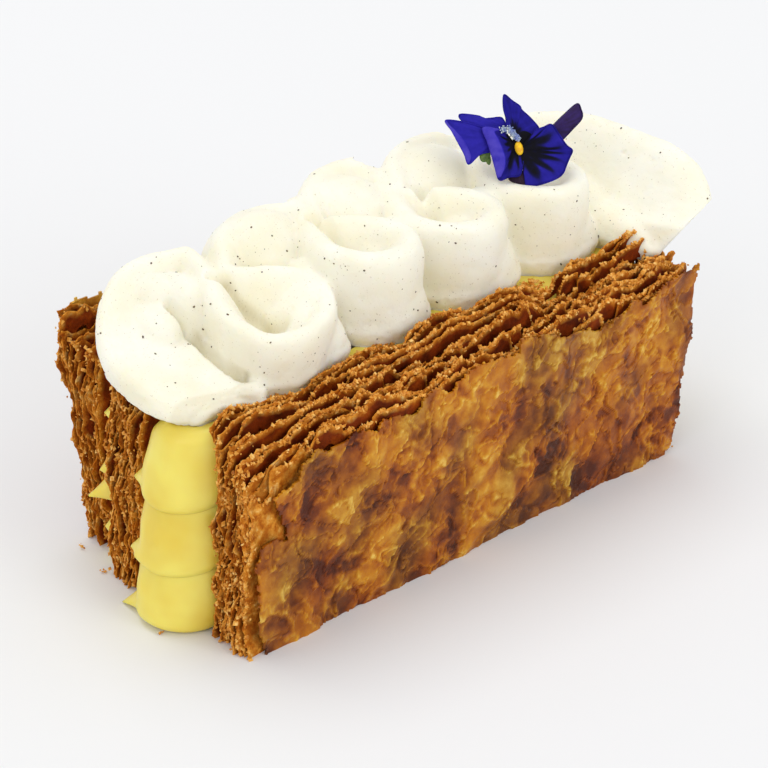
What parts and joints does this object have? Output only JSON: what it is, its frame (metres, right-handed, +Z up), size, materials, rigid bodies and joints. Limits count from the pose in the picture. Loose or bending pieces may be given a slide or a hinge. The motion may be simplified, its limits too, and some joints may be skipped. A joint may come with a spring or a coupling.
{
  "type": "mille feuille slice",
  "caption": "Mille feuille slice standing on its side: upright flaky puff pastry sheets with custard ropes between, a piped wave of vanilla cream on top and a viola flower.",
  "frame": {"origin": "on the table, at the middle of the whole slice's footprint", "axes": "+X along the slice, from the end where the first cream petal droops to the end where the last one rises; +Z up; +Y from the front sheet's outer face to the back sheet"},
  "size_m": [0.1444, 0.061, 0.0785],
  "materials": {
    "pastry": "baked puff pastry, flaky and matt with a thin butter sheen",
    "custard": "smooth set custard with a soft wet sheen",
    "cream": "whipped vanilla cream, satin, with fine dark seeds",
    "petal": "velvety fresh petals"
  },
  "bodies": {
    "root": {"pastry_front": "pastry", "pastry_middle": "pastry", "pastry_back": "pastry", "custard_front_low": "custard", "custard_front_mid": "custard", "custard_front_high": "custard", "custard_back_low": "custard", "custard_back_mid": "custard", "custard_back_high": "custard", "cream_wave": "cream", "viola": "petal"}
  },
  "joints": []
}
